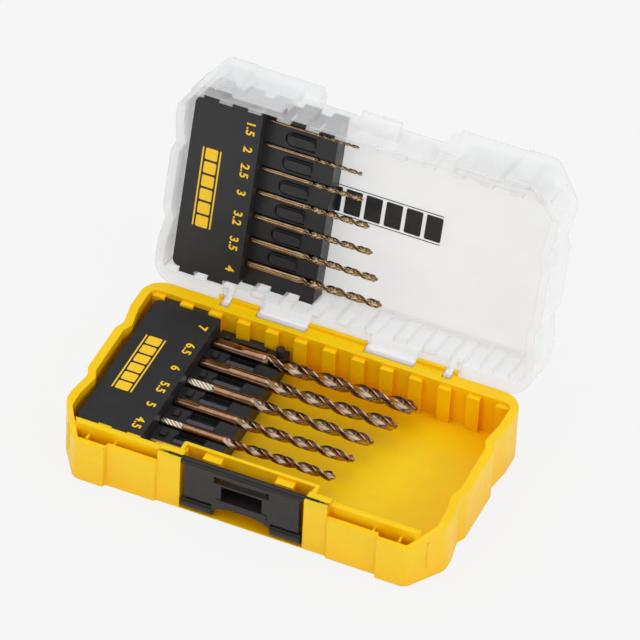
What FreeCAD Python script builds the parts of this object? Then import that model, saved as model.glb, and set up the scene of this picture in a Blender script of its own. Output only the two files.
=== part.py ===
import FreeCAD, Part

import math
import os
import re
from types import SimpleNamespace

import Sketcher

# Drill bit case: a tray, a clear lid on a two-pin hinge, a fold-over latch, two lift-out racks
# and thirteen drill bits. Lengths are in millimetres. X runs along the case, Y from the latch to
# the hinge, Z up from the underside, and Y = 0 lies half way between the two rows of ribs.
# The lid and all it carries are drawn closed, round the hinge axis, and then turned open.

# Driving sizes of the case

SIZES = {
    # Both shells, seen from above
    "half_length": 100.5,
    "rib_face_reach": 47.4,
    "rib_depth": 2.7,
    "front_depth": 10.1,
    "back_depth": 6.9,
    "shoulder_step": 2.0,
    "shoulder_length": 29.5,
    "outline_step": 0.8,
    "corner_cut_long": 19.2,
    "corner_cut_wide": 13.0,
    "front_corner_round": 6.0,
    "side_corner_round": 9.0,
    "back_corner_round": 12.0,
    "wave_depth": 2.2,
    "wave_margin": 7.0,
    "wave_slope": 13.0,
    "wave_flat": 5.0,
    "wave_round": 3.0,
    "side_wall": 4.5,
    "front_wall": 2.5,
    "inner_corner_round": 4.0,
    "rack_corner_round": 3.5,
    "small_round": 1.2,
    "edge_chamfer": 1.0,
    "lid_chamfer": 2.6,
    # Heights of the tray
    "rim_height": 31.5,
    "rim_drop": 5.0,
    "floor_height": 8.5,
    "floor_thickness": 2.2,
    "cell_floor_rise": 1.5,
    "ramp_foot_step": 3.7,
    "foot_band": 8.0,
    "foot_band_front": 18.0,
    "foot_rib": 3.0,
    # Dovetail ribs that the racks slide over
    "rib_width": 7.0,
    "rib_side_gap": 0.7,
    "rib_flare": 0.4,
    "rib_drop": 1.8,
    "rib_root": 0.6,
    # Front cells beside the latch
    "inner_front_wall": 3.2,
    "web_thickness": 1.2,
    "web_inner_step": 32.5,
    "web_outer_step": 18.5,
    # Latch bay, its posts and the lip behind it
    "latch_half": 31.9,
    "latch_side_gap": 0.5,
    "post_width": 12.1,
    "post_step": 3.2,
    "post_rise": 1.6,
    "bay_gap": 1.0,
    "bay_wall": 2.0,
    "bay_corner": 3.2,
    "ledge_thickness": 1.4,
    "prop_gap": 2.4,
    "prop_width": 9.5,
    "prop_length": 4.4,
    "pivot_setback": 2.2,
    "pivot_rise": 0.1,
    "pivot_pin_radius": 1.5,
    "pivot_slot_width": 1.9,
    "pivot_slot_length": 7.2,
    # Hinge
    "hinge_drop": 2.3,
    "hinge_pin_radius": 1.25,
    "knuckle_radius": 3.3,
    "knuckle_flank": 1.0,
    "knuckle_slope": 3.0,
    "knuckle_gap": 0.4,
    "middle_block_half": 15.4,
    "wide_knuckle": 26.8,
    "side_block": 14.8,
    "end_knuckle": 4.6,
    "end_plate": 1.9,
    "block_back": 3.0,
    "block_lip": 2.6,
    "block_lip_rise": 1.9,
    "block_foot_drop": 6.7,
    "pin_recess": 0.3,
    "fit_gap": 0.06,
    # Lid, drawn closed
    "seam_gap": 0.2,
    "lid_inner_rise": 23.2,
    "lid_recess": 5.6,
    "lid_panel": 2.0,
    "lid_bay_gap": 1.5,
    "lid_bay_setback": 8.6,
    "lid_band": 7.5,
    "lid_open_angle": 104.5,
    "notch_height": 6.4,
    "tongue_half": 10.2,
    "tongue_over": 0.7,
    "tongue_gap": 0.5,
    "tongue_side_gap": 0.5,
    "tongue_thickness": 4.3,
    "tongue_nose": 1.7,
    "tongue_slope": 2.5,
    # Latch, drawn hanging in its bay
    "latch_thickness": 3.0,
    "plate_side_step": 1.7,
    "latch_barrel_radius": 2.0,
    "latch_pin_length": 9.0,
    "window_half": 14.5,
    "bow_half": 19.0,
    "bow_rise": 0.6,
    "catch_end_gap": 0.4,
    "catch_wall": 1.1,
    "apron_wall": 2.9,
    "apron_rise": 0.5,
    "arch_half": 14.0,
    "grip_near": 15.5,
    "grip_side_step": 0.7,
    "grip_radius": 3.2,
    "grip_setback": 2.5,
    "valley_depth": 1.9,
    # Heights on the latch, as shares of the height of its pivot
    "window_high_share": 0.924,
    "window_low_share": 0.788,
    "catch_high_share": 0.75,
    "catch_low_share": 0.4684,
    "arch_high_share": 0.3291,
    "valley_high_share": 0.3196,
    "arch_low_share": 0.2373,
    "grip_share": 0.1582,
    # Racks
    "rack_gap": 0.3,
    "rack_seat_gap": 0.1,
    "rack_side_gap": 3.6,
    "rack_wall": 1.8,
    "rack_label_plate": 2.0,
    "rack_channel_plate": 5.0,
    "rack_least_tooth": 1.0,
    "base_label_drop": 3.0,
    "base_step": 9.2,
    "base_label_length": 34.8,
    "base_channel_length": 36.2,
    "base_drill_rise": 0.3,
    "base_drill_margin": 8.9,
    "lid_label_rise": 2.9,
    "lid_step": 8.4,
    "lid_label_length": 35.7,
    "lid_channel_length": 37.1,
    "lid_drill_sink": 0.2,
    "lid_drill_margin": 9.2,
    "lid_drill_last_margin": 5.5,
    "drill_gap": 0.12,
    "drill_end_gap": 0.4,
    "pad_length": 14.5,
    "pad_rise": 1.6,
    "pad_setback": 11.6,
    "pad_width_share": 0.54,
    "pad_slot_gap": 0.6,
    "pad_slot_width": 0.8,
    "pad_slot_depth": 1.2,
    "wall_pad_share": 0.48,
    "stop_length": 3.0,
    "stop_setback": 3.4,
    "peg_share": 0.85,
    "peg_rise": 4.7,
    "peg_setback": 3.0,
    # Reach of a cutting tool past what it cuts
    "overrun": 2.0,
}

# Each drill bit: node name, diameter, length over all, fluted length, stepped tip or not,
# three-flat shank or not. The first group lies in the tray from the hinge to the latch.

BASE_DRILLS = [
    ("drill_7_0", 7.0, 109.0, 69.0, True, True),
    ("drill_6_5", 6.5, 105.0, 66.0, True, True),
    ("drill_6_0", 6.0, 99.0, 62.0, True, True),
    ("drill_5_5", 5.5, 95.5, 60.0, True, True),
    ("drill_5_0", 5.0, 92.0, 58.0, True, True),
    ("drill_4_5", 4.5, 84.0, 52.0, True, False),
]
LID_DRILLS = [
    ("drill_4_0", 4.0, 72.2, 45.0, True, False),
    ("drill_3_5", 3.5, 68.1, 41.0, True, False),
    ("drill_3_2", 3.2, 63.3, 38.0, True, False),
    ("drill_3_0", 3.0, 59.5, 35.0, True, False),
    ("drill_2_5", 2.5, 54.3, 30.0, False, False),
    ("drill_2_0", 2.0, 51.6, 26.0, False, False),
    ("drill_1_5", 1.5, 48.0, 22.0, False, False),
]

# Shape of a drill bit as shares of its diameter, and its twist
LEAD_SHARE = 5.4
WEB_SHARE = 0.19
TIP_LENGTH_SHARE = 0.30
PILOT_RADIUS_SHARE = 0.27
PILOT_LENGTH_SHARE = 0.45
POINT_SHARE = 0.05
FLAT_SHARE = 0.43
FLAT_LENGTH_SHARE = 2.6
TURN_STEP = 30.0
LAND_ANGLES = (-38.0, 0.0, 38.0)
FLUTE_ANGLE = 90.0
FLAT_ANGLES = (30.0, 150.0, 270.0)
QUARTER_TURN = 90.0
HALF_TURN = 180.0
FULL_TURN = 360.0

# Two ends nearer than this share of the case's half length are one point
SAME_POINT_SHARE = 1e-6

RIB_NUMBERS = range(-6, 7)
FRONT_TRAY_RIBS = [k for k in RIB_NUMBERS if 3 <= abs(k) < 6]
CORNER_TRAY_RIBS = [-6, 6]


def derived(b):
    """Sizes that follow from the driving sizes b, so that neighbours keep their fits."""
    d = SimpleNamespace()
    # Outline
    d.rib_root_reach = b.rib_face_reach + b.rib_depth
    d.front_reach = d.rib_root_reach + b.front_depth
    d.back_reach = d.rib_root_reach + b.back_depth
    d.shoulder_reach = d.front_reach - b.shoulder_step
    d.shoulder_end = b.half_length - b.shoulder_length
    d.wave_far = d.front_reach - b.corner_cut_long - b.wave_margin
    d.wave_bottom = d.wave_far - b.wave_slope
    d.wave_near = d.wave_bottom - b.wave_flat
    d.rib_pitch = (b.half_length - b.side_wall - b.rib_side_gap - b.rib_width / 2) / CORNER_TRAY_RIBS[1]
    # Tray
    d.low_rim_height = b.rim_height - b.rim_drop
    d.ramp_top_reach = d.front_reach - b.corner_cut_long
    d.ramp_foot_reach = d.front_reach - b.ramp_foot_step
    d.cell_floor_height = b.floor_height + b.cell_floor_rise
    d.cell_back_reach = d.rib_root_reach + b.inner_front_wall
    d.web_inner_place = b.half_length - b.web_inner_step
    d.web_outer_place = b.half_length - b.web_outer_step
    # Latch and its bay
    d.bay_half = b.latch_half + b.latch_side_gap
    d.post_outer = d.bay_half + b.post_width
    d.post_reach = d.front_reach - b.post_step
    d.post_height = b.rim_height + b.post_rise
    d.latch_front_reach = d.post_reach
    d.pivot_reach = d.latch_front_reach - b.pivot_setback
    d.pivot_height = b.rim_height + b.pivot_rise
    d.window_high = d.pivot_height * b.window_high_share
    d.window_low = d.pivot_height * b.window_low_share
    d.catch_high = d.pivot_height * b.catch_high_share
    d.catch_low = d.pivot_height * b.catch_low_share
    d.arch_high = d.pivot_height * b.arch_high_share
    d.arch_low = d.pivot_height * b.arch_low_share
    d.valley_high = d.pivot_height * b.valley_high_share
    d.grip_height = d.pivot_height * b.grip_share
    d.grip_reach = d.latch_front_reach - b.grip_setback
    d.grip_far = b.latch_half - b.grip_side_step
    d.catch_half = b.tongue_half + b.tongue_side_gap
    d.apron_half = d.catch_half + b.apron_wall
    d.prop_near = d.catch_half + b.catch_wall + b.prop_gap
    d.prop_far = d.prop_near + b.prop_width
    # Where the turned-over latch takes the lid's tongue
    d.tongue_reach = d.front_reach + b.tongue_over
    d.tongue_top_height = 2 * d.pivot_height - d.catch_low - b.tongue_gap
    d.catch_back_reach = 2 * d.pivot_reach - d.tongue_reach - b.catch_end_gap
    d.bay_back_reach = d.catch_back_reach - b.catch_wall - b.bay_gap
    d.prop_reach = d.bay_back_reach + b.prop_length
    # Hinge
    d.hinge_reach = d.back_reach
    d.hinge_height = b.rim_height - b.hinge_drop
    d.wide_knuckle_end = b.middle_block_half + b.wide_knuckle
    d.side_block_end = d.wide_knuckle_end + b.side_block
    d.end_knuckle_end = d.side_block_end + b.end_knuckle
    d.end_plate_end = d.end_knuckle_end + b.end_plate
    d.block_lip_height = b.rim_height + b.block_lip_rise
    d.block_step_reach = d.hinge_reach - b.block_lip
    # Lid
    d.lid_floor_height = b.rim_height + b.lid_inner_rise
    d.lid_top_height = d.lid_floor_height + b.lid_panel + b.lid_recess
    d.lid_bay_half = b.latch_half + b.lid_bay_gap
    d.lid_bay_reach = d.front_reach - b.lid_bay_setback
    # Racks and the rows of drill bits
    d.rack_left = b.half_length - b.side_wall - b.rack_side_gap
    d.base_label_height = b.rim_height - b.base_label_drop
    d.base_channel_height = d.base_label_height - b.base_step
    d.base_block_end = d.rack_left - b.base_label_length
    d.base_rack_end = d.base_block_end - b.base_channel_length
    d.base_drill_height = d.base_channel_height + b.base_drill_rise
    d.base_drill_first = b.rib_face_reach - b.base_drill_margin
    d.base_drill_pitch = 2 * d.base_drill_first / (len(BASE_DRILLS) - 1)
    d.peg_height = d.base_channel_height + b.peg_rise
    d.lid_label_height = b.rim_height + b.seam_gap + b.lid_label_rise
    d.lid_channel_height = d.lid_label_height + b.lid_step
    d.lid_block_end = d.rack_left - b.lid_label_length
    d.lid_rack_end = d.lid_block_end - b.lid_channel_length
    d.lid_drill_height = d.lid_channel_height - b.lid_drill_sink
    d.lid_drill_first = b.rib_face_reach - b.lid_drill_margin
    lid_drill_last = b.rib_face_reach - b.lid_drill_last_margin
    d.lid_drill_pitch = (d.lid_drill_first + lid_drill_last) / (len(LID_DRILLS) - 1)
    return vars(d)


SIZES.update(derived(SimpleNamespace(**SIZES)))
S = SimpleNamespace(**SIZES)

doc = FreeCAD.newDocument("DrillBitCase")
sheet = doc.addObject("Spreadsheet::Sheet", "Sizes")
rows = dict(SIZES)
for node, diameter, length, fluted, stepped, flatted in BASE_DRILLS + LID_DRILLS:
    rows[node + "_diameter"] = diameter
    rows[node + "_length"] = length
    rows[node + "_fluted"] = fluted
for row, (alias, value) in enumerate(rows.items(), start=1):
    sheet.set("A%d" % row, alias)
    sheet.set("B%d" % row, repr(value))
    sheet.setAlias("B%d" % row, alias)
doc.recompute()


# A frame tells where a group of bodies has its own origin, in the closed case
TRAY = SimpleNamespace(y=0.0, z=0.0, y_name="0", z_name="0")
LID = SimpleNamespace(
    y=S.hinge_reach,
    z=S.hinge_height,
    y_name="Sizes.hinge_reach",
    z_name="Sizes.hinge_height",
)


def bound(text):
    """Turns words that are aliases of the sheet into references to it."""

    def refer(word):
        return "Sizes." + word.group() if word.group() in rows else word.group()

    return re.sub("[a-z][a-z_0-9]*", refer, text)


def new_body(name, frame):
    body = doc.addObject("PartDesign::Body", name)
    body.Label = name
    body.addProperty("App::PropertyString", "Group_frame")
    body.Group_frame = "lid" if frame is LID else "tray"
    return body


def plane_of(body, role):
    return [item for item in body.Origin.OriginFeatures if item.Role == role][0]


def rounded_loop(corners):
    """Lines and tangent arcs of a closed outline; a corner is (u, v) or (u, v, radius)."""
    points = [FreeCAD.Vector(c[0], c[1], 0) for c in corners]
    radii = [c[2] if len(c) > 2 else 0.0 for c in corners]
    count = len(points)
    ends = []
    for i, point in enumerate(points):
        back = (points[i - 1] - point).normalize()
        ahead = (points[(i + 1) % count] - point).normalize()
        half_angle = back.getAngle(ahead) / 2
        reach = radii[i] / math.tan(half_angle) if radii[i] else 0.0
        inward = back + ahead
        middle = point
        if radii[i]:
            inward.normalize()
            depth = radii[i] / math.sin(half_angle) - radii[i]
            middle = point + inward * depth
        ends.append((point + back * reach, middle, point + ahead * reach))
    pieces = []
    for i, (start, middle, finish) in enumerate(ends):
        if radii[i]:
            pieces.append(Part.Arc(start, middle, finish))
        following = ends[(i + 1) % count][0]
        if following.distanceToPoint(finish) > SAME_POINT_SHARE * S.half_length:
            pieces.append(Part.LineSegment(finish, following))
    return pieces


def circle(u, v, radius):
    return [Part.Circle(FreeCAD.Vector(u, v, 0), FreeCAD.Vector(0, 0, 1), radius)]


def box_loop(u_low, u_high, v_low, v_high, radius=0.0):
    return [
        (u_low, v_low, radius),
        (u_high, v_low, radius),
        (u_high, v_high, radius),
        (u_low, v_high, radius),
    ]


def drawn(body, role, name, start, loops):
    """A sketch on one of the body's own planes, moved along the plane's normal by start."""
    frame = LID if body.Group_frame == "lid" else TRAY
    sketch = body.newObject("Sketcher::SketchObject", name + "_sketch")
    sketch.AttachmentSupport = [(plane_of(body, role), "")]
    sketch.MapMode = "FlatFace"
    shift = {"XY_Plane": " - " + frame.z_name, "XZ_Plane": " + " + frame.y_name, "YZ_Plane": ""}[role]
    sketch.setExpression("AttachmentOffset.Base.z", bound(start) + shift)
    moves = {
        "XY_Plane": FreeCAD.Vector(0, -frame.y, 0),
        "XZ_Plane": FreeCAD.Vector(0, -frame.z, 0),
        "YZ_Plane": FreeCAD.Vector(-frame.y, -frame.z, 0),
    }
    for loop in loops:
        pieces = loop if not isinstance(loop[0], tuple) else rounded_loop(loop)
        for piece in pieces:
            piece.translate(moves[role])
            sketch.addGeometry(piece, False)
    return sketch


def add(body, role, name, start, length, loops):
    """Pads the loops from start along the plane's normal."""
    pad = body.newObject("PartDesign::Pad", name)
    pad.Profile = drawn(body, role, name, start, loops)
    pad.setExpression("Length", bound(length))
    body.Tip = pad
    return pad


def cut(body, role, name, start, length, loops):
    """Cuts the loops away from start along the plane's normal."""
    pocket = body.newObject("PartDesign::Pocket", name)
    pocket.Profile = drawn(body, role, name, start, loops)
    pocket.Reversed = True
    pocket.setExpression("Length", bound(length))
    body.Tip = pocket
    return pocket


def both_sides(right_half):
    """A closed outline from the corners of its right half, front to back."""
    left_half = [(-c[0],) + tuple(c[1:]) for c in reversed(right_half)]
    return right_half + left_half


def chamfer_edges(body, name, size, picks):
    """Bevels those edges of the body's tip that picks(edge) accepts."""
    base = body.Tip
    base.Profile[0].recompute()
    base.recompute()
    names = ["Edge%d" % n for n, edge in enumerate(base.Shape.Edges, start=1) if picks(edge)]
    bevel = body.newObject("PartDesign::Chamfer", name)
    bevel.Base = (base, names)
    bevel.setExpression("Size", bound(size))
    body.Tip = bevel
    return bevel


# Outlines that the tray and the lid share


def corner_line_x(y, inset):
    """X of the cut front corner's face, moved inward by inset, at the level y."""
    run = math.hypot(S.corner_cut_wide, S.corner_cut_long)
    x0 = S.half_length - inset * S.corner_cut_long / run
    y0 = -(S.front_reach - S.corner_cut_long) + inset * S.corner_cut_wide / run
    return x0 + (y - y0) * S.corner_cut_wide / S.corner_cut_long


def corner_line_y(x, inset):
    """Y of the same face at the place x."""
    run = math.hypot(S.corner_cut_wide, S.corner_cut_long)
    x0 = S.half_length - inset * S.corner_cut_long / run
    y0 = -(S.front_reach - S.corner_cut_long) + inset * S.corner_cut_wide / run
    return y0 + (x - x0) * S.corner_cut_long / S.corner_cut_wide


def wavy_side(x):
    """Corners of the right side wall, front to back, with its two shallow waves."""
    corners = []
    for side in (-1, 1):
        wave = [
            (x, side * S.wave_far, S.wave_round),
            (x - S.wave_depth, side * S.wave_bottom, S.wave_round),
            (x, side * S.wave_near, S.wave_round),
        ]
        corners += wave if side < 0 else wave[::-1]
    return corners


def shell_outline(front_corners):
    """Outer outline of a shell; front_corners run from the middle to the shoulder's end."""
    right = front_corners + [
        (S.shoulder_end, -S.shoulder_reach),
        (S.shoulder_end + S.outline_step, -S.front_reach),
        (S.half_length - S.corner_cut_wide, -S.front_reach, S.front_corner_round),
        (S.half_length, -(S.front_reach - S.corner_cut_long), S.side_corner_round),
    ]
    right += wavy_side(S.half_length)
    right.append((S.half_length, S.back_reach, S.back_corner_round))
    return both_sides(right)


def inside_outline(front_corners):
    """Inner outline of a shell; front_corners run from the middle to the side."""
    wall_x = S.half_length - S.side_wall
    root_y = S.rib_face_reach + S.rib_depth
    right = front_corners + [
        (corner_line_x(-root_y, S.front_wall), -root_y, S.small_round),
        (wall_x, corner_line_y(wall_x, S.front_wall), S.small_round),
    ]
    right += wavy_side(wall_x)
    right.append((wall_x, root_y, S.inner_corner_round))
    return both_sides(right)


def rib_loop(number, side):
    """One dovetail rib, wider at its face than at its root."""
    x = number * S.rib_pitch
    face = side * S.rib_face_reach
    root = side * (S.rib_face_reach + S.rib_depth + S.rib_root)
    half_face = S.rib_width / 2
    half_root = half_face - S.rib_flare
    return [(x - half_face, face), (x + half_face, face), (x + half_root, root), (x - half_root, root)]


def cell_loops(side):
    """The hollow between the inner and the outer front wall, at one side of the latch."""
    floor_y = -(S.shoulder_reach - S.front_wall)
    deep_y = -(S.front_reach - S.front_wall)
    back_y = -S.cell_back_reach
    corners = [
        (S.post_outer, floor_y),
        (S.shoulder_end, floor_y),
        (S.shoulder_end + S.outline_step, deep_y),
        (corner_line_x(deep_y, S.front_wall), deep_y),
        (corner_line_x(back_y, S.front_wall), back_y),
        (S.post_outer, back_y),
    ]
    return [[(side * x, y) for x, y in corners]]


def web_loops():
    """Thin walls that cross the front cells."""
    loops = []
    for side in (-1, 1):
        for place in (S.web_inner_place, S.web_outer_place):
            low, high = sorted((side * (place - S.web_thickness / 2), side * (place + S.web_thickness / 2)))
            loops.append(box_loop(low, high, -(S.shoulder_reach - S.edge_chamfer), -S.cell_back_reach))
    return loops


# Spans along X, at one side of the middle, of the lid's knuckles and of the tray's blocks
KNUCKLE_SPANS = [
    (S.middle_block_half, S.wide_knuckle_end),
    (S.side_block_end, S.end_knuckle_end),
]
BLOCK_SPANS = [
    (0.0, S.middle_block_half),
    (S.wide_knuckle_end, S.side_block_end),
    (S.end_knuckle_end, S.end_plate_end),
]


def span_loops(spans, gap, y_low, y_high):
    """Boxes over the same spans at both sides of the middle, wider by gap at each end."""
    loops = []
    for low, high in spans:
        if low:
            loops.append(box_loop(low - gap, high + gap, y_low, y_high))
            loops.append(box_loop(-high - gap, -low + gap, y_low, y_high))
        else:
            loops.append(box_loop(-high - gap, high + gap, y_low, y_high))
    return loops


def make_tray():
    body = new_body("base_tray", TRAY)
    front = [
        (S.post_outer, -S.post_reach),
        (S.post_outer + S.outline_step, -S.shoulder_reach),
    ]
    add(body, "XY_Plane", "tray_block", "0", "rim_height", [shell_outline(front)])
    chamfer_edges(
        body,
        "tray_edges",
        "edge_chamfer",
        lambda edge: edge.BoundBox.ZLength < S.fit_gap and edge.BoundBox.ZMin < S.fit_gap,
    )

    # The front rim drops beside the latch, down a ramp on each cut corner
    ramp = [
        (-S.ramp_top_reach, S.rim_height),
        (-S.ramp_foot_reach, S.low_rim_height),
        (-S.front_reach - S.overrun, S.low_rim_height),
        (-S.front_reach - S.overrun, S.rim_height + S.overrun),
        (-S.ramp_top_reach, S.rim_height + S.overrun),
    ]
    cut(body, "YZ_Plane", "ramp_right", "post_outer", "half_length", [ramp])
    cut(body, "YZ_Plane", "ramp_left", "-post_outer - half_length", "half_length", [ramp])

    # The inside, with the wall behind the latch standing further in
    bay_wall_y = -(S.bay_back_reach - S.bay_wall)
    root_y = S.rib_face_reach + S.rib_depth
    bay_side = S.bay_half + S.bay_corner
    wall_end = S.front_wall + S.rack_gap
    inside = inside_outline([(bay_side, bay_wall_y, S.small_round), (bay_side, -root_y)])
    cut(body, "XY_Plane", "inside", "floor_height", "rim_height", [inside])
    add(
        body,
        "XY_Plane",
        "front_inner_walls",
        "floor_height",
        "rim_height - floor_height",
        [
            [
                (side * S.post_outer, -S.cell_back_reach),
                (side * corner_line_x(-S.cell_back_reach, wall_end), -S.cell_back_reach),
                (side * corner_line_x(-root_y, wall_end), -root_y),
                (side * S.post_outer, -root_y),
            ]
            for side in (-1, 1)
        ],
    )
    for side, name in ((-1, "left_cells"), (1, "right_cells")):
        cut(body, "XY_Plane", name, "cell_floor_height", "rim_height", cell_loops(side))
    add(body, "XY_Plane", "webs", "cell_floor_height", "low_rim_height - cell_floor_height", web_loops())

    # The latch bay with its thin ledge, the posts and the lip behind the latch
    bay = box_loop(-S.bay_half, S.bay_half, -S.front_reach - S.overrun, -S.bay_back_reach)
    cut(body, "XY_Plane", "latch_bay", "ledge_thickness", "rim_height", [bay])
    posts = [
        box_loop(*sorted((side * S.bay_half, side * S.post_outer)), -S.post_reach, -root_y)
        for side in (-1, 1)
    ]
    add(body, "XY_Plane", "posts", "rim_height", "post_height - rim_height", posts)
    lip_end = S.bay_half + S.bay_corner - S.bay_wall
    lip = both_sides(
        [
            (lip_end, -S.bay_back_reach),
            (lip_end, -root_y),
            (bay_side, -root_y),
            (bay_side, bay_wall_y, S.small_round),
        ]
    )
    add(body, "XY_Plane", "latch_lip", "rim_height", "post_height - rim_height", [lip])
    props = [
        box_loop(*sorted((side * S.prop_near, side * S.prop_far)), -S.prop_reach, -S.bay_back_reach)
        for side in (-1, 1)
    ]
    add(body, "XY_Plane", "lid_props", "ledge_thickness", "rim_height - ledge_thickness", props)
    cut(
        body,
        "YZ_Plane",
        "pivot_holes",
        "-post_outer - overrun",
        "2 * (post_outer + overrun)",
        [circle(-S.pivot_reach, S.pivot_height, S.pivot_pin_radius + S.fit_gap)],
    )
    slots = [
        box_loop(
            *sorted((side * (S.bay_half - S.overrun), side * (S.bay_half + S.pivot_slot_length))),
            -S.pivot_reach - S.pivot_slot_width / 2,
            -S.pivot_reach + S.pivot_slot_width / 2
        )
        for side in (-1, 1)
    ]
    cut(body, "XY_Plane", "pivot_slots", "pivot_height", "post_height", slots)

    # Hinge: a bar with a raised back lip, cut into blocks by room for the lid's knuckles
    back = S.hinge_reach + S.block_back
    bar = [
        (S.back_reach - S.front_wall, S.hinge_height - S.block_foot_drop),
        (S.back_reach, S.hinge_height - S.block_foot_drop),
        (back, S.hinge_height - S.block_back),
        (back, S.block_lip_height, S.small_round),
        (back - S.block_lip, S.block_lip_height),
        (back - S.block_lip, S.rim_height),
        (S.block_step_reach, S.rim_height),
    ]
    add(body, "YZ_Plane", "hinge_bar", "-end_plate_end", "2 * end_plate_end", [bar])
    front_of_room = S.hinge_reach - S.knuckle_radius - S.knuckle_gap
    cut(
        body,
        "XY_Plane",
        "knuckle_room",
        "hinge_height - knuckle_radius - knuckle_gap",
        "block_lip_height",
        span_loops(KNUCKLE_SPANS, 0.0, front_of_room, back + S.overrun),
    )
    cut(
        body,
        "XY_Plane",
        "knuckle_way_out",
        "hinge_height - block_foot_drop - overrun",
        "block_lip_height",
        span_loops(KNUCKLE_SPANS, 0.0, S.back_reach, back + S.overrun),
    )
    cut(
        body,
        "YZ_Plane",
        "pin_bore",
        "-end_plate_end - overrun",
        "2 * (end_plate_end + overrun)",
        [circle(S.hinge_reach, S.hinge_height, S.hinge_pin_radius + S.fit_gap)],
    )

    # The underside stands on a band round the edge and on two ribs that cross at the middle
    band_x = S.half_length - S.foot_band
    rib = S.foot_rib / 2
    hollows = []
    for y_low, y_high in ((-(S.front_reach - S.foot_band_front), -rib), (rib, S.back_reach - S.foot_band)):
        hollows.append(box_loop(-band_x, -rib, y_low, y_high, S.small_round))
        hollows.append(box_loop(rib, band_x, y_low, y_high, S.small_round))
    cut(body, "XY_Plane", "underside", "0", "floor_height - floor_thickness", hollows)

    # Dovetail ribs on both walls; the two at the cut corners stay below the lid's skirts
    ribs = [rib_loop(k, 1) for k in RIB_NUMBERS] + [rib_loop(k, -1) for k in FRONT_TRAY_RIBS]
    add(body, "XY_Plane", "ribs", "floor_height", "rim_height - rib_drop - floor_height", ribs)
    corner_ribs = [rib_loop(k, -1) for k in CORNER_TRAY_RIBS]
    add(body, "XY_Plane", "corner_ribs", "floor_height", "low_rim_height - rib_drop - floor_height", corner_ribs)
    return body


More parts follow.
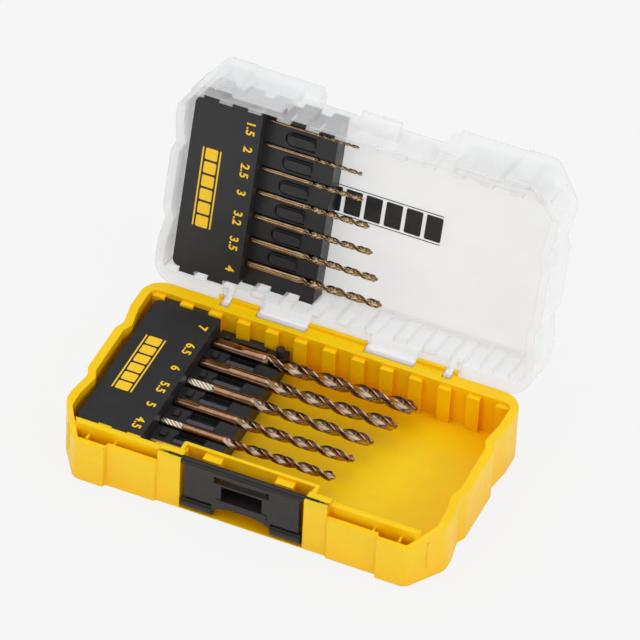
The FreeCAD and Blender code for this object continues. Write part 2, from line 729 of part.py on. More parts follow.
def make_lid():
    body = new_body("lid", LID)
    rim = "rim_height + seam_gap"
    rim_z = S.rim_height + S.seam_gap
    root_y = S.rib_face_reach + S.rib_depth
    front = [
        (S.lid_bay_half, -S.lid_bay_reach, S.small_round),
        (S.lid_bay_half, -S.shoulder_reach, S.small_round),
    ]
    add(
        body,
        "XY_Plane",
        "lid_block",
        rim,
        "lid_top_height - (%s)" % rim,
        [shell_outline(front)],
    )
    top_z = S.lid_top_height - LID.z
    beside = S.shoulder_end + S.outline_step - S.fit_gap
    chamfer_edges(
        body,
        "lid_edges",
        "lid_chamfer",
        lambda edge: edge.BoundBox.ZMin > top_z - S.fit_gap
        and (edge.BoundBox.YMin > -LID.y or abs(edge.BoundBox.Center.x) > beside),
    )

    # Skirts that come down over the tray's lowered front rim
    ramp_run = S.ramp_foot_reach - S.ramp_top_reach
    skirts = []
    for side in (-1, 1):
        outer = [
            (S.post_outer + S.outline_step, -S.shoulder_reach),
            (S.shoulder_end, -S.shoulder_reach),
            (S.shoulder_end + S.outline_step, -S.front_reach),
            (S.half_length - S.corner_cut_wide, -S.front_reach, S.front_corner_round),
            (corner_line_x(-S.ramp_top_reach, 0.0), -S.ramp_top_reach),
        ]
        inner = [
            (corner_line_x(-S.ramp_top_reach, S.front_wall), -S.ramp_top_reach),
            (corner_line_x(-S.front_reach + S.front_wall, S.front_wall), -S.front_reach + S.front_wall),
            (S.shoulder_end + S.outline_step, -S.front_reach + S.front_wall),
            (S.shoulder_end, -S.shoulder_reach + S.front_wall),
            (S.post_outer + S.outline_step, -S.shoulder_reach + S.front_wall),
        ]
        skirts.append([(side * c[0],) + tuple(c[1:]) for c in outer + inner])
    add(
        body,
        "XY_Plane",
        "skirts",
        "low_rim_height + seam_gap",
        "rim_height - low_rim_height",
        skirts,
    )
    foot = S.low_rim_height + S.seam_gap
    slope = (S.rim_height - S.low_rim_height) / ramp_run
    ramp = [
        (-S.ramp_foot_reach, foot),
        (-S.ramp_top_reach, rim_z),
        (-S.ramp_top_reach + S.overrun, rim_z),
        (-S.ramp_top_reach + S.overrun, foot - S.overrun),
        (-S.ramp_foot_reach - S.overrun, foot - slope * S.overrun),
    ]
    cut(body, "YZ_Plane", "skirt_ramps", "-half_length - overrun", "2 * (half_length + overrun)", [ramp])

    # The inside, the recess in the top and the cells behind the skirts
    cut(
        body,
        "XY_Plane",
        "lid_inside",
        "low_rim_height",
        "lid_floor_height - low_rim_height",
        [inside_outline([])],
    )
    band_x = S.half_length - S.lid_band
    side_bay = S.lid_bay_half + S.bay_corner
    top_recess = both_sides(
        [
            (side_bay, -S.front_reach - S.overrun),
            (side_bay, -S.lid_bay_reach, S.small_round),
            (corner_line_x(-S.lid_bay_reach, S.lid_band), -S.lid_bay_reach, S.small_round),
            (band_x, corner_line_y(band_x, S.lid_band), S.small_round),
            (band_x, S.back_reach - S.lid_band, S.foot_band),
        ]
    )
    cut(
        body,
        "XY_Plane",
        "top_recess",
        "lid_floor_height + lid_panel",
        "lid_top_height",
        [top_recess],
    )
    for side, name in ((-1, "left_cells"), (1, "right_cells")):
        cut(
            body,
            "XY_Plane",
            "lid_" + name,
            "low_rim_height",
            "lid_floor_height - low_rim_height",
            cell_loops(side),
        )
    add(body, "XY_Plane", "lid_webs", rim, "lid_floor_height - (%s)" % rim, web_loops())
    posts_room = [
        box_loop(
            *sorted((side * (S.lid_bay_half - S.overrun), side * (S.post_outer + S.outline_step))),
            -S.front_reach - S.overrun,
            -root_y + S.seam_gap
        )
        for side in (-1, 1)
    ]
    cut(
        body,
        "XY_Plane",
        "post_room",
        "low_rim_height",
        "post_height + rack_gap - low_rim_height",
        posts_room,
    )

    # The tongue that the latch snaps over, with a sloping nose
    tongue = [
        (-root_y, S.tongue_top_height - S.tongue_thickness - S.tongue_slope),
        (-root_y, S.tongue_top_height),
        (-S.tongue_reach + S.tongue_slope, S.tongue_top_height),
        (-S.tongue_reach, S.tongue_top_height - S.tongue_nose),
        (-S.tongue_reach, S.tongue_top_height - S.tongue_thickness),
    ]
    add(body, "YZ_Plane", "tongue", "-tongue_half", "2 * tongue_half", [tongue])

    # Hinge: a barrel, cut into knuckles by room for the tray's blocks
    barrel_front = S.hinge_reach - S.knuckle_radius
    barrel_back = S.hinge_reach + S.knuckle_radius
    barrel_foot = S.hinge_height - S.knuckle_radius
    barrel = [
        (barrel_front, rim_z + S.knuckle_slope),
        (barrel_front, barrel_foot, S.knuckle_radius),
        (barrel_back, barrel_foot, S.knuckle_radius),
        (barrel_back, S.hinge_height + S.knuckle_flank),
        (S.back_reach, rim_z + S.knuckle_slope),
    ]
    add(
        body,
        "YZ_Plane",
        "hinge_barrel",
        "-end_knuckle_end + knuckle_gap",
        "2 * (end_knuckle_end - knuckle_gap)",
        [barrel],
    )
    cut(
        body,
        "XY_Plane",
        "block_room",
        "hinge_height - knuckle_radius - overrun",
        "knuckle_radius + overrun + notch_height",
        span_loops(BLOCK_SPANS, S.knuckle_gap, root_y, barrel_back + S.overrun),
    )
    cut(
        body,
        "YZ_Plane",
        "knuckle_bore",
        "-end_plate_end",
        "2 * end_plate_end",
        [circle(S.hinge_reach, S.hinge_height, S.hinge_pin_radius + S.fit_gap)],
    )

    # Dovetail ribs on both walls
    ribs = [rib_loop(k, side) for side in (-1, 1) for k in RIB_NUMBERS]
    add(
        body,
        "XY_Plane",
        "lid_ribs",
        rim + " + rib_drop",
        "lid_floor_height - (%s) - rib_drop" % rim,
        ribs,
    )
    return body


def make_latch():
    body = new_body("latch", TRAY)
    foot_z = S.grip_height
    plate_half = S.latch_half - S.plate_side_step
    arch_mid = FreeCAD.Vector(0, S.arch_high, 0)
    arch_left = FreeCAD.Vector(-S.arch_half, S.arch_low, 0)
    arch_right = FreeCAD.Vector(S.arch_half, S.arch_low, 0)
    outline = [
        (-plate_half, S.pivot_height),
        (-plate_half, foot_z),
        (-S.grip_near, foot_z),
        (-S.arch_half, S.arch_low),
    ]
    corners = [FreeCAD.Vector(x, z, 0) for x, z in outline]
    mirrored = [FreeCAD.Vector(-x, z, 0) for x, z in reversed(outline)]
    plate = [Part.LineSegment(a, b) for a, b in zip(corners, corners[1:])]
    plate.append(Part.Arc(arch_left, arch_mid, arch_right))
    plate += [Part.LineSegment(a, b) for a, b in zip(mirrored, mirrored[1:])]
    plate.append(Part.LineSegment(mirrored[-1], corners[0]))
    add(body, "XZ_Plane", "plate", "latch_front_reach - latch_thickness", "latch_thickness", [plate])
    barrel = circle(-S.pivot_reach, S.pivot_height, S.latch_barrel_radius)
    add(body, "YZ_Plane", "barrel", "-latch_half", "2 * latch_half", [barrel])
    for name, start in (("left", "-bay_half - latch_pin_length"), ("right", "latch_half - overrun")):
        pin = circle(-S.pivot_reach, S.pivot_height, S.pivot_pin_radius)
        add(
            body,
            "YZ_Plane",
            "pivot_pin_" + name,
            start,
            "bay_half + latch_pin_length - latch_half + overrun",
            [pin],
        )

    # The top bar bows out in the middle, over the window
    bow_start = FreeCAD.Vector(-S.bow_half, -S.latch_front_reach, 0)
    bow_middle = FreeCAD.Vector(0, -S.latch_front_reach - S.bow_rise, 0)
    bow_end = FreeCAD.Vector(S.bow_half, -S.latch_front_reach, 0)
    bow_back_y = -S.latch_front_reach + S.bow_rise
    bow_right = FreeCAD.Vector(S.bow_half, bow_back_y, 0)
    bow_left = FreeCAD.Vector(-S.bow_half, bow_back_y, 0)
    bow = [
        Part.Arc(bow_start, bow_middle, bow_end),
        Part.LineSegment(bow_end, bow_right),
        Part.LineSegment(bow_right, bow_left),
        Part.LineSegment(bow_left, bow_start),
    ]
    add(body, "XY_Plane", "bow", "window_high", "pivot_height - window_high", [bow])

    # The catch: a box behind the plate, open to the front, that takes the lid's tongue
    box_half = S.catch_half + S.catch_wall
    housing = box_loop(
        -box_half, box_half, S.catch_low - S.catch_wall, S.catch_high + S.catch_wall, S.small_round
    )
    add(
        body,
        "XZ_Plane",
        "catch_box",
        "catch_back_reach - catch_wall",
        "latch_front_reach - latch_thickness - catch_back_reach + 2 * catch_wall",
        [housing],
    )
    apron = [
        (-S.apron_half, S.arch_high),
        (S.apron_half, S.arch_high),
        (S.apron_half, S.catch_low, S.small_round),
        (-S.apron_half, S.catch_low, S.small_round),
    ]
    add(body, "XZ_Plane", "apron", "latch_front_reach - apron_rise", "2 * apron_rise", [apron])
    hollow = box_loop(-S.catch_half, S.catch_half, S.catch_low, S.catch_high)
    cut(body, "XZ_Plane", "catch_hollow", "catch_back_reach", "latch_front_reach", [hollow])
    window = box_loop(-S.window_half, S.window_half, S.window_low, S.window_high)
    window_start = "latch_front_reach - latch_thickness - overrun"
    cut(body, "XZ_Plane", "window", window_start, "2 * overrun + latch_thickness", [window])

    # Two finger grips: a roll along the foot with a valley above it
    for name, start in (("left", "-grip_far"), ("right", "grip_near")):
        valley = box_loop(
            -S.latch_front_reach - S.overrun,
            -S.latch_front_reach + S.valley_depth,
            S.grip_height,
            S.valley_high,
        )
        cut(body, "YZ_Plane", "valley_" + name, start, "grip_far - grip_near", [valley])
        roll = circle(-S.grip_reach, S.grip_height, S.grip_radius)
        add(body, "YZ_Plane", "roll_" + name, start, "grip_far - grip_near", [roll])
    return body


def toothed_edge(side, x_from, x_to):
    """Edge of a rack along one wall, left to right, notched for the dovetail ribs."""
    root = side * (S.rib_face_reach - S.rack_gap)
    tip = side * (S.rib_face_reach + S.rib_depth - S.rack_gap)
    half_root = S.rib_width / 2 + S.rack_gap
    half_tip = half_root - S.rib_flare
    corners = []
    inside_notch = False
    for k in RIB_NUMBERS:
        x = k * S.rib_pitch
        if x + half_root < x_from or x - half_root > x_to:
            continue
        if x - half_root > x_from + S.rack_least_tooth:
            if not corners:
                corners.append((x_from, tip, S.rack_corner_round))
            corners += [(x - half_tip, tip), (x - half_root, root)]
        elif not corners:
            corners.append((x_from, root, S.rack_corner_round))
        if x + half_root < x_to - S.rack_least_tooth:
            corners += [(x + half_root, root), (x + half_tip, tip)]
            inside_notch = False
        else:
            inside_notch = True
    corners.append((x_to, root if inside_notch else tip))
    return corners


def rack_loop(x_to, bay_end):
    """Outline of a rack from above; bay_end is None or where the latch bay cuts its front."""
    back = toothed_edge(1, -S.rack_left, x_to)
    if bay_end is None or x_to < bay_end:
        front = toothed_edge(-1, -S.rack_left, x_to)
    else:
        bay_y = -(S.bay_back_reach - S.bay_wall) + S.rack_gap
        front = toothed_edge(-1, -S.rack_left, bay_end) + [(bay_end, bay_y), (x_to, bay_y)]
    return front + back[::-1]


def slot_loop(pad_x, y, pad_width):
    """A U-shaped slot round a pad, open at the end away from the label."""
    inner = pad_width / 2 + S.pad_slot_gap
    outer = inner + S.pad_slot_width
    left = pad_x - S.pad_slot_gap
    right = pad_x + S.pad_length
    return [
        (right, y + outer),
        (left - S.pad_slot_width, y + outer, outer - S.drill_gap),
        (left - S.pad_slot_width, y - outer, outer - S.drill_gap),
        (right, y - outer),
        (right, y - inner),
        (left, y - inner, inner - S.drill_gap),
        (left, y + inner, inner - S.drill_gap),
        (right, y + inner),
    ]


def make_rack(name, frame, sign, heights, ends, drills, axis, bay_end):
    """A moulded rack: a label block, a lower channel part, grooves, pads and a hollow below."""
    seat_name, channel_name, label_name = heights
    block_end, rack_end = ends
    body = new_body(name, frame)

    def span(low, high):
        """Start and length along Z between two named heights, whichever way the rack faces."""
        if sign > 0:
            return low, "(%s) - (%s)" % (high, low)
        return high, "(%s) - (%s)" % (low, high)

    start, length = span(seat_name, channel_name)
    add(body, "XY_Plane", name + "_channel", start, length, [rack_loop(-rack_end, bay_end)])
    start, length = span(channel_name, label_name)
    add(body, "XY_Plane", name + "_label", start, length, [rack_loop(-block_end, bay_end)])

    # Hollow from the seat side
    wall_y = S.rib_face_reach - S.rack_gap - S.rack_wall
    low_x = -S.rack_left + S.rack_wall
    over = " - overrun" if sign > 0 else " + overrun"
    plate = " - rack_channel_plate" if sign > 0 else " + rack_channel_plate"
    label_plate = " - rack_label_plate" if sign > 0 else " + rack_label_plate"
    start, length = span(seat_name + over, channel_name + plate)
    front_y = -wall_y
    if bay_end is not None:
        front_y = -(S.bay_back_reach - S.bay_wall) + S.rack_gap + S.rack_wall
    hollow = box_loop(-block_end + S.rack_wall, -rack_end - S.rack_wall, front_y, wall_y)
    cut(body, "XY_Plane", name + "_channel_hollow", start, length, [hollow])
    start, length = span(seat_name + over, label_name + label_plate)
    hollow = box_loop(low_x, -block_end - S.rack_wall, -wall_y, wall_y)
    cut(body, "XY_Plane", name + "_label_hollow", start, length, [hollow])

    # Raised pads between the drill bits, then the grooves that the bits lie in
    height, first, pitch = axis
    pads = []
    slots = []
    pad_x = -block_end + S.pad_setback
    stop_x = -block_end + S.stop_setback
    pad_width = (pitch - drills[0][1]) * S.pad_width_share
    for n in range(len(drills) - 1):
        y = first - (2 * n + 1) * pitch / 2
        low, high = y - pad_width / 2, y + pad_width / 2
        pads.append(box_loop(pad_x, pad_x + S.pad_length, low, high, pad_width / 2 - S.drill_gap))
        slots.append(slot_loop(pad_x, y, pad_width))
        if sign > 0:
            pads.append(box_loop(stop_x, stop_x + S.stop_length, low, high))
    if sign > 0:
        beside = first + drills[0][1] / 2
        y = (beside + S.rib_face_reach) / 2
        room = S.rib_face_reach - beside
        low, high = y - room * S.wall_pad_share / 2, y + room * S.wall_pad_share / 2
        pads.append(box_loop(pad_x, pad_x + S.pad_length, low, high))
        pads.append(box_loop(stop_x, stop_x + S.stop_length, low, high))
        peg = circle(-rack_end - S.peg_setback, y, room * S.peg_share / 2)
        add(body, "XY_Plane", name + "_peg", channel_name, "peg_height - (%s)" % channel_name, [peg])
    start, length = span(channel_name, channel_name + (" + pad_rise" if sign > 0 else " - pad_rise"))
    add(body, "XY_Plane", name + "_pads", start, length, pads)
    deep = " - pad_slot_depth" if sign > 0 else " + pad_slot_depth"
    start, length = span(channel_name + deep, channel_name)
    cut(body, "XY_Plane", name + "_slots", start, length, slots)
    grooves = []
    for n, drill in enumerate(drills):
        grooves.append(circle(first - n * pitch, height, drill[1] / 2 + S.drill_gap))
    start = "-base_block_end" if sign > 0 else "-lid_block_end"
    cut(body, "YZ_Plane", name + "_grooves", start, "half_length", grooves)
    return body


def flute_section(radius, turn, x, share=1.0):
    """Eight corners of a two-flute bit's section, turned about X."""
    corners = []
    for half in (0.0, HALF_TURN):
        spokes = [(radius * share, angle) for angle in LAND_ANGLES]
        spokes.append((2 * radius * WEB_SHARE * share, FLUTE_ANGLE))
        for reach, angle in spokes:
            turned = math.radians(angle + half + turn)
            corners.append(FreeCAD.Vector(x, reach * math.cos(turned), reach * math.sin(turned)))
    return corners


def solid_through(sections):
    """A closed solid of flat facets through sections of equally many corners."""
    count = len(sections[0])
    points = [corner for section in sections for corner in section]
    facets = []
    for row in range(len(sections) - 1):
        for n in range(count):
            near = row * count + n
            near_next = row * count + (n + 1) % count
            facets.append((near, near_next, near_next + count))
            facets.append((near, near_next + count, near + count))
    for row, flip in ((0, True), (len(sections) - 1, False)):
        points.append(FreeCAD.Vector(sections[row][0].x, 0, 0))
        middle = len(points) - 1
        for n in range(count):
            first = row * count + n
            second = row * count + (n + 1) % count
            facets.append((middle, second, first) if flip else (middle, first, second))
    shell = Part.Shape()
    shell.makeShapeFromMesh((points, facets), S.fit_gap * S.fit_gap)
    return Part.makeSolid(shell)


def drill_shape(diameter, length, fluted, stepped, flatted):
    """A twist drill along +X from the end of its shank to its point."""
    radius = diameter / 2
    along = FreeCAD.Vector(1, 0, 0)
    tip = TIP_LENGTH_SHARE * diameter
    pilot = PILOT_LENGTH_SHARE * diameter if stepped else 0.0
    flute_start = length - fluted
    flute_run = fluted - tip - pilot
    whole_turn = FULL_TURN * flute_run / (LEAD_SHARE * diameter)
    steps = max(1, round(whole_turn / TURN_STEP))
    sections = []
    for n in range(steps + 1):
        sections.append(flute_section(radius, whole_turn * n / steps, flute_start + flute_run * n / steps))
    if stepped:
        share = 2 * PILOT_RADIUS_SHARE
        shoulder = flute_start + flute_run + tip * PILOT_RADIUS_SHARE
        sections.append(flute_section(radius, whole_turn, shoulder, share))
        sections.append(flute_section(radius, whole_turn, length - tip, share))
    sections.append(flute_section(radius, whole_turn, length, 2 * POINT_SHARE))
    shank = Part.makeCylinder(radius, flute_start, FreeCAD.Vector(0, 0, 0), along)
    if flatted:
        flat_length = FLAT_LENGTH_SHARE * diameter
        reach = 2 * FLAT_SHARE * diameter
        corners = []
        for angle in FLAT_ANGLES:
            turned = math.radians(angle)
            corners.append(FreeCAD.Vector(0, reach * math.cos(turned), reach * math.sin(turned)))
        prism = Part.Face(Part.makePolygon(corners + corners[:1])).extrude(along * flat_length)
        rest = Part.makeCylinder(radius, flute_start - flat_length, along * flat_length, along)
        shank = shank.common(prism).fuse(rest)
    return shank.fuse(solid_through(sections))


def lid_placement():
    turn = FreeCAD.Rotation(FreeCAD.Vector(1, 0, 0), -S.lid_open_angle)
    return FreeCAD.Placement(FreeCAD.Vector(0, S.hinge_reach, S.hinge_height), turn)


def make_drills(drills, frame, start_x, axis):
    height, first, pitch = axis
    features = []
    for n, (name, diameter, length, fluted, stepped, flatted) in enumerate(drills):
        feature = doc.addObject("Part::Feature", name)
        feature.Label = name
        diameter = sheet.get(name + "_diameter")
        length = sheet.get(name + "_length")
        fluted = sheet.get(name + "_fluted")
        feature.Shape = drill_shape(diameter, length, fluted, stepped, flatted)
        place = FreeCAD.Placement(
            FreeCAD.Vector(start_x, first - n * pitch - frame.y, height - frame.z), FreeCAD.Rotation()
        )
        feature.Placement = lid_placement().multiply(place) if frame is LID else place
        features.append(feature)
    return features


def make_hinge_pin():
    pin = doc.addObject("Part::Cylinder", "hinge_pin")
    pin.Label = "hinge_pin"
    pin.setExpression("Radius", bound("hinge_pin_radius"))
    pin.setExpression("Height", bound("2 * (end_plate_end - pin_recess)"))
    turn = FreeCAD.Rotation(FreeCAD.Vector(0, 1, 0), QUARTER_TURN)
    start = -(S.end_plate_end - S.pin_recess)
    pin.Placement = FreeCAD.Placement(FreeCAD.Vector(start, S.hinge_reach, S.hinge_height), turn)
    return pin


BASE_AXIS = (S.base_drill_height, S.base_drill_first, S.base_drill_pitch)
LID_AXIS = (S.lid_drill_height, S.lid_drill_first, S.lid_drill_pitch)

tray = make_tray()
lid = make_lid()
latch = make_latch()
base_rack = make_rack(
    "base_rack",
    TRAY,
    1,
    ("floor_height + rack_seat_gap", "base_channel_height", "base_label_height"),
    (S.base_block_end, S.base_rack_end),
    BASE_DRILLS,
    BASE_AXIS,
    -(S.bay_half + S.bay_corner + S.rack_gap),
)
lid_rack = make_rack(
    "lid_rack",
    LID,
    -1,
    ("lid_floor_height - rack_seat_gap", "lid_channel_height", "lid_label_height"),
    (S.lid_block_end, S.lid_rack_end),
    LID_DRILLS,
    LID_AXIS,
    None,
)
hinge_pin = make_hinge_pin()
base_drills = make_drills(BASE_DRILLS, TRAY, -S.base_block_end + S.drill_end_gap, BASE_AXIS)
lid_drills = make_drills(LID_DRILLS, LID, -S.lid_block_end + S.drill_end_gap, LID_AXIS)
for body in (lid, lid_rack):
    body.Placement = lid_placement()
doc.recompute()

# Each sub-part must be one valid solid before it is written
os.makedirs("parts", exist_ok=True)
for item in [tray, lid, latch, base_rack, lid_rack, hinge_pin] + base_drills + lid_drills:
    shape = item.Shape
    if "Invalid" in item.State or "Error" in item.State or not shape.isValid():
        raise RuntimeError("%s is not valid: %s" % (item.Label, item.State))
    if len(shape.Solids) != 1:
        raise RuntimeError("%s has %d solids" % (item.Label, len(shape.Solids)))
    shape.exportStep("parts/%s.step" % item.Label)
    box = shape.BoundBox
    print(
        "%-16s volume %9.1f  x %7.1f %7.1f  y %7.1f %7.1f  z %7.1f %7.1f"
        % (item.Label, shape.Volume, box.XMin, box.XMax, box.YMin, box.YMax, box.ZMin, box.ZMax)
    )
for item in doc.Objects:
    if "Invalid" in item.State or "Error" in item.State:
        raise RuntimeError("%s failed: %s" % (item.Label, item.State))
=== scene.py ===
import math

import bmesh
import bpy
from mathutils import Matrix, Vector


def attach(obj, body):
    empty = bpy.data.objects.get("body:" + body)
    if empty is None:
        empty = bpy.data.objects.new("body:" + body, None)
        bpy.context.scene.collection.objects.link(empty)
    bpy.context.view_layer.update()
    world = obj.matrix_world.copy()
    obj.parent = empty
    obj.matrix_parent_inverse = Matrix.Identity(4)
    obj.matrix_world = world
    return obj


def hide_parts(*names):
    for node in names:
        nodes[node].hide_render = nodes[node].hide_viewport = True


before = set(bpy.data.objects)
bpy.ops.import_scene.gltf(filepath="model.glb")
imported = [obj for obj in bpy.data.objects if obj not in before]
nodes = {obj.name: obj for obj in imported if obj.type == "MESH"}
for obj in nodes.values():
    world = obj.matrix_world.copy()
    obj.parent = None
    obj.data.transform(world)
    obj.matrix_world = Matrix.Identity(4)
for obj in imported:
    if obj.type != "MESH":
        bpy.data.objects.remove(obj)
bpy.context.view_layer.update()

# Pieces are drawn in millimetres, in the closed case. Materials, lamps and camera are in metres.
MM = 0.001
LID_OPEN = math.radians(104.5)
HINGE = Vector((0, 57.0, 29.2)) * MM
# Carries a point of the closed lid to where it is when the lid is open
LID_TURN = Matrix.Translation(HINGE) @ Matrix.Rotation(-LID_OPEN, 4, "X") @ Matrix.Translation(-HINGE)


def srgb(red, green, blue):
    """A colour written in 0 to 255, as the shader wants it: the standard sRGB curve."""
    out = []
    for value in (red, green, blue):
        share = value / 255
        out.append(share / 12.92 if share <= 0.04045 else ((share + 0.055) / 1.055) ** 2.4)
    return (*out, 1.0)


# Materials

NOISE = (0.3, 0.7)  # the part of 0 to 1 that noise mostly fills
CORNER_REACH = 0.03  # how far corners are looked for, in metres


class Nodes:
    """A short way to write a material's nodes."""

    def __init__(self, name):
        self.material = bpy.data.materials.new(name)
        self.material.use_nodes = True
        self.tree = self.material.node_tree
        self.tree.nodes.clear()
        self.output = self.add("ShaderNodeOutputMaterial")
        self.shader = self.add("ShaderNodeBsdfPrincipled")
        self.link(self.shader.outputs[0], self.output.inputs["Surface"])
        self.place = self.add("ShaderNodeTexCoord").outputs["Object"]

    def add(self, kind, **values):
        """A new node; each value is a socket's, or else a property's."""
        node = self.tree.nodes.new(kind)
        for name, value in values.items():
            if name in node.inputs:
                node.inputs[name].default_value = value
            else:
                setattr(node, name, value)
        return node

    def link(self, source, target):
        self.tree.links.new(source, target)

    def feed(self, values, node, slots):
        """Gives each slot its value, which is another node's output or a plain one."""
        for slot, value in zip(slots, values):
            if hasattr(value, "is_output"):
                self.link(value, node.inputs[slot])
            else:
                node.inputs[slot].default_value = value

    def give(self, **sources):
        """Links outputs to the shader's sockets."""
        for name, source in sources.items():
            self.link(source, self.shader.inputs[name.replace("_", " ")])

    def set(self, **values):
        """Writes constants on the shader's sockets."""
        for name, value in values.items():
            self.shader.inputs[name.replace("_", " ")].default_value = value

    def noise(self, scale, detail=3.0, roughness=0.55, place=None):
        node = self.add("ShaderNodeTexNoise", Scale=scale, Detail=detail, Roughness=roughness)
        self.link(place or self.place, node.inputs["Vector"])
        return node.outputs["Fac"]

    def span(self, value, low, high, start=0.0, end=1.0):
        """Carries value from low..high to start..end."""
        node = self.add("ShaderNodeMapRange")
        self.feed((value, low, high, start, end), node, ("Value", "From Min", "From Max", "To Min", "To Max"))
        return node.outputs["Result"]

    def mix(self, share, first, second, blend="MIX"):
        node = self.add("ShaderNodeMix", data_type="RGBA", blend_type=blend)
        self.feed((share, first, second), node, (0, 6, 7))
        return node.outputs[2]

    def math(self, operation, first, second):
        node = self.add("ShaderNodeMath", operation=operation)
        self.feed((first, second), node, (0, 1))
        return node.outputs[0]

    def bump(self, height, strength, distance, normal=None):
        node = self.add("ShaderNodeBump", Strength=strength, Distance=distance)
        self.link(height, node.inputs["Height"])
        if normal:
            self.link(normal, node.inputs["Normal"])
        return node.outputs["Normal"]

    def soft_edges(self, radius):
        return self.add("ShaderNodeBevel", samples=6, Radius=radius).outputs["Normal"]

    def openness(self, samples):
        """How open a place is to the light, from 0 in a deep corner to 1."""
        return self.add("ShaderNodeAmbientOcclusion", samples=samples, Distance=CORNER_REACH).outputs["AO"]


def moulded(name, dark, light, roughness, grain, edge, subsurface=0.0, corner_shade=None):
    """Moulded plastic: fine spark-eroded grain, a little unevenness of colour and gloss.

    The last argument is the colour that corners are painted towards: painted shade, for light that bounces between
    its walls there.
    """
    m = Nodes(name)
    cloud = m.noise(scale=55.0, detail=4.0, roughness=0.6)
    colour = m.mix(m.span(cloud, *NOISE), dark, light)
    if corner_shade:
        # Painted shade: towards the corner colour where little light reaches
        colour = m.mix(m.span(m.openness(samples=4), 0.85, 0.3, end=0.45), colour, corner_shade)
    fine = m.noise(scale=2600.0, detail=2.0, roughness=0.7)
    m.give(
        Base_Color=colour,
        Roughness=m.span(m.noise(scale=160.0), *NOISE, roughness - 0.05, roughness + 0.06),
        Normal=m.bump(fine, strength=grain, distance=0.00006, normal=m.soft_edges(edge)),
    )
    m.set(Specular_IOR_Level=0.4)
    if subsurface:
        m.set(Subsurface_Weight=subsurface, Subsurface_Radius=(0.006, 0.002, 0.0004), Subsurface_Scale=0.8)
    return m.material


def clear_plastic():
    """Clear moulded plastic: milky and half see-through, denser at its edges and when seen aslant, with painted shade
    that greys its edges.
    """
    m = Nodes("clear_plastic")
    cloud = m.noise(scale=34.0, detail=3.0, roughness=0.5)
    pale = m.mix(m.span(cloud, *NOISE), srgb(243, 244, 246), srgb(249, 250, 251))
    # The nearer to an edge, the more the softened normal leans away from the face's own
    bent = m.soft_edges(radius=0.0009)
    lean = m.add("ShaderNodeVectorMath", operation="DOT_PRODUCT")
    m.feed((bent, m.add("ShaderNodeNewGeometry").outputs["True Normal"]), lean, (0, 1))
    edge = m.span(lean.outputs["Value"], 0.99, 0.80)
    aslant = m.span(m.add("ShaderNodeLayerWeight", Blend=0.5).outputs["Facing"], 0.5, 1.0)
    denser = m.math("MAXIMUM", m.span(edge, 0.0, 1.0, end=0.06), m.span(aslant, 0.0, 1.0, end=0.3))
    m.give(
        # Painted shade: the colour greys towards the edges
        Base_Color=m.mix(m.span(edge, 0.0, 1.0, end=0.2), pale, srgb(206, 208, 211)),
        Alpha=m.math("ADD", denser, 0.31),
        Roughness=m.span(m.noise(scale=220.0), 0.35, 0.7, start=0.14, end=0.24),
        Normal=m.bump(m.noise(scale=60.0, detail=2.0, roughness=0.4), strength=0.06, distance=0.0005, normal=bent),
    )
    m.set(IOR=1.45, Specular_IOR_Level=0.5)
    return m.material


def ground_steel(name, dark, light, roughness, stretch, depth):
    """Tinted steel with fine grinding marks and painted shade: darker where little light reaches, in corners and
    underneath, and where the piece's painted shade attribute says so.
    """
    m = Nodes(name)
    mapping = m.add("ShaderNodeMapping", Scale=stretch)
    m.link(m.place, mapping.inputs["Vector"])
    marks = m.noise(scale=1.0, detail=4.0, roughness=0.65, place=mapping.outputs["Vector"])
    tint = m.mix(m.span(m.noise(scale=240.0, detail=3.0, roughness=0.6), *NOISE), dark, light)
    ground = m.mix(m.span(marks, 0.3, 0.75, end=0.4), tint, light)
    painted_shade = m.add("ShaderNodeAttribute", attribute_name="painted_shade").outputs["Fac"]
    # Painted shade: the piece's own painted shade or the shade of nearby surfaces, whichever is darker, multiplied
    # towards dark brown
    painted_shade_share = m.math("MAXIMUM", painted_shade, m.span(m.openness(samples=6), 0.7, 0.25, end=0.9))
    m.give(
        Base_Color=m.mix(painted_shade_share, ground, srgb(112, 78, 62), blend="MULTIPLY"),
        Roughness=m.span(marks, *NOISE, roughness - 0.06, roughness + 0.08),
        Normal=m.bump(marks, strength=depth, distance=0.00004),
    )
    m.set(Metallic=1.0)
    return m.material


def ground_flat():
    """Shank flats, ground across: bright steel with slanting hatch marks."""
    m = Nodes("ground_flat")
    turned = m.add("ShaderNodeMapping", Rotation=(0.0, 0.0, math.radians(-58)))
    m.link(m.place, turned.inputs["Vector"])
    wave = m.add("ShaderNodeTexWave", wave_type="BANDS", bands_direction="X", Scale=250.0, Distortion=1.2, Detail=2.0)
    m.link(turned.outputs["Vector"], wave.inputs["Vector"])
    bands = wave.outputs["Fac"]
    m.give(
        Base_Color=m.mix(bands, srgb(160, 138, 114), srgb(246, 238, 220)),
        Roughness=m.span(bands, 0.0, 1.0, start=0.3, end=0.16),
        Normal=m.bump(bands, strength=0.5, distance=0.00006),
    )
    m.set(Metallic=1.0)
    return m.material


def printed(name, dark, light):
    """Screen-printed ink: a thin, slightly uneven satin layer."""
    m = Nodes(name)
    m.give(
        Base_Color=m.mix(m.span(m.noise(scale=900.0), *NOISE), dark, light),
        Roughness=m.span(m.noise(scale=700.0), *NOISE, start=0.35, end=0.5),
        Normal=m.bump(m.noise(scale=1500.0), strength=0.15, distance=0.00003),
    )
    return m.material


